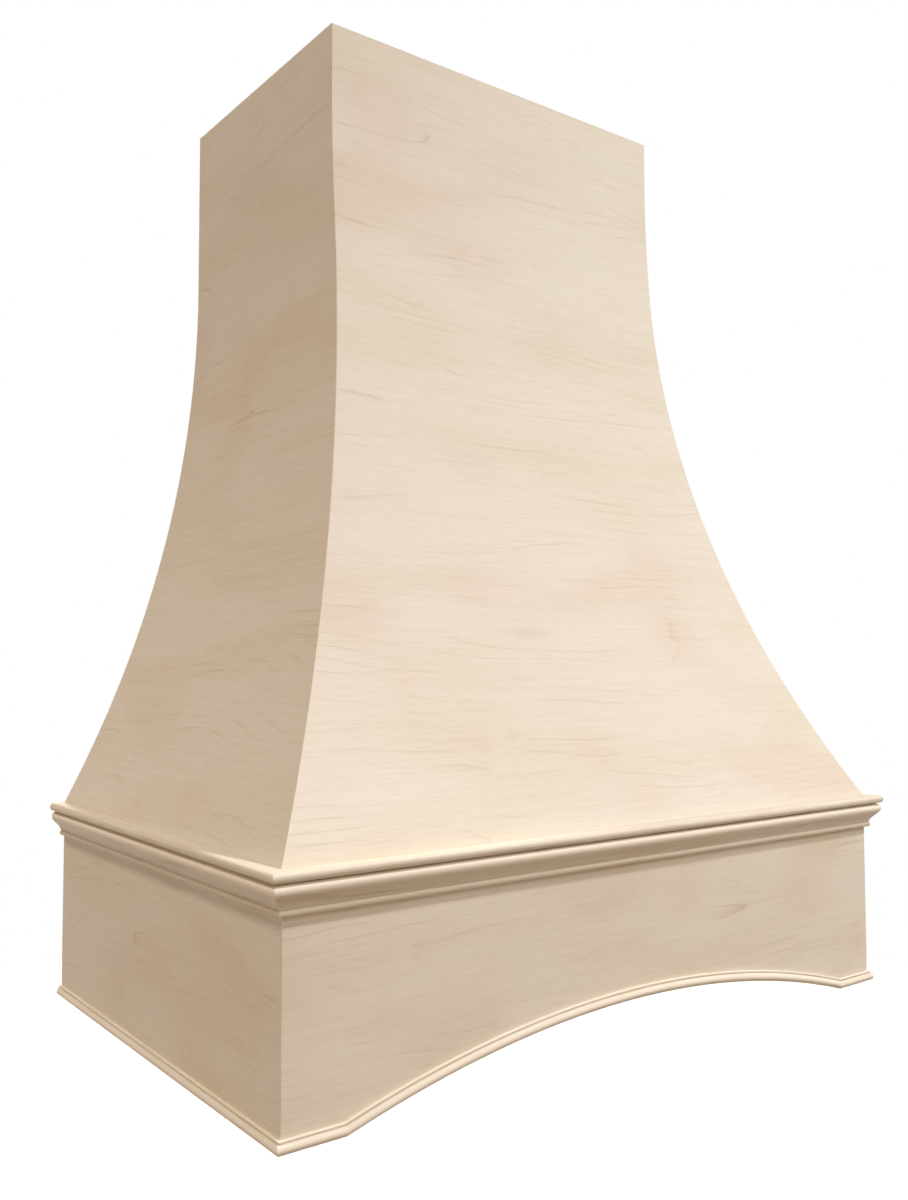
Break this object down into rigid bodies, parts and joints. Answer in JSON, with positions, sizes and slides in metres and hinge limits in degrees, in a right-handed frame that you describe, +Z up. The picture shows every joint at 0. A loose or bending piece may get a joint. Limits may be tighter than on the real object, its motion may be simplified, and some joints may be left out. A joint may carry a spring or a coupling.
{
  "type": "range hood cover",
  "caption": "Wall-hung wooden range hood cover: a chimney box that flares in concave curves to a box apron with an arched front, a moulded ledge and a beaded lower trim.",
  "frame": {"origin": "middle of the footprint at the lower edge of the bottom trim", "axes": "+Z up, -Y out of the arched front, +Y towards the wall, +X to the right as seen from the front"},
  "size_m": [0.9524, 0.6286, 1.2192],
  "materials": {
    "maple_veneer": "bare maple-veneered plywood, sanded, with low-contrast grain running level",
    "solid_maple": "bare solid maple, moulded and sanded",
    "frame_plywood": "bare birch plywood with its layers showing at the edges",
    "frame_timber": "bare planed softwood",
    "screw_steel": "zinc-plated wood screws"
  },
  "bodies": {
    "root": {"body_front_panel": "maple_veneer", "body_left_panel": "maple_veneer", "body_right_panel": "maple_veneer", "apron_front_panel": "maple_veneer", "apron_left_panel": "maple_veneer", "apron_right_panel": "maple_veneer", "ledge_front": "solid_maple", "ledge_left": "solid_maple", "ledge_right": "solid_maple", "ledge_rear": "solid_maple", "bed_moulding_front": "solid_maple", "bed_moulding_left": "solid_maple", "bed_moulding_right": "solid_maple", "bottom_trim_left": "solid_maple", "bottom_trim_right": "solid_maple", "bottom_trim_front_left": "solid_maple", "bottom_trim_front_right": "solid_maple", "bottom_trim_arch": "solid_maple", "base_plate_front": "frame_plywood", "base_plate_rear": "frame_plywood", "base_plate_left": "frame_plywood", "base_plate_right": "frame_plywood", "top_plate_front": "frame_plywood", "top_plate_rear": "frame_plywood", "top_plate_left": "frame_plywood", "top_plate_right": "frame_plywood", "corner_post_left": "frame_timber", "corner_post_right": "frame_timber", "front_rib_left": "frame_plywood", "front_rib_right": "frame_plywood", "side_rib_left": "frame_plywood", "side_rib_right": "frame_plywood", "rear_rib_left": "frame_plywood", "rear_rib_right": "frame_plywood", "hanging_rail_upper": "frame_plywood", "hanging_rail_middle": "frame_plywood", "apron_rear_rail": "frame_plywood", "corner_block_front_left": "frame_timber", "corner_block_front_right": "frame_timber", "corner_block_rear_left": "frame_timber", "corner_block_rear_right": "frame_timber", "insert_cleat_front": "frame_timber", "insert_cleat_left": "frame_timber", "insert_cleat_right": "frame_timber", "insert_panel": "frame_plywood", "insert_screw_1": "screw_steel", "insert_screw_2": "screw_steel", "insert_screw_3": "screw_steel", "insert_screw_4": "screw_steel", "insert_screw_5": "screw_steel", "insert_screw_6": "screw_steel", "insert_screw_7": "screw_steel", "insert_screw_8": "screw_steel"}
  },
  "joints": []
}
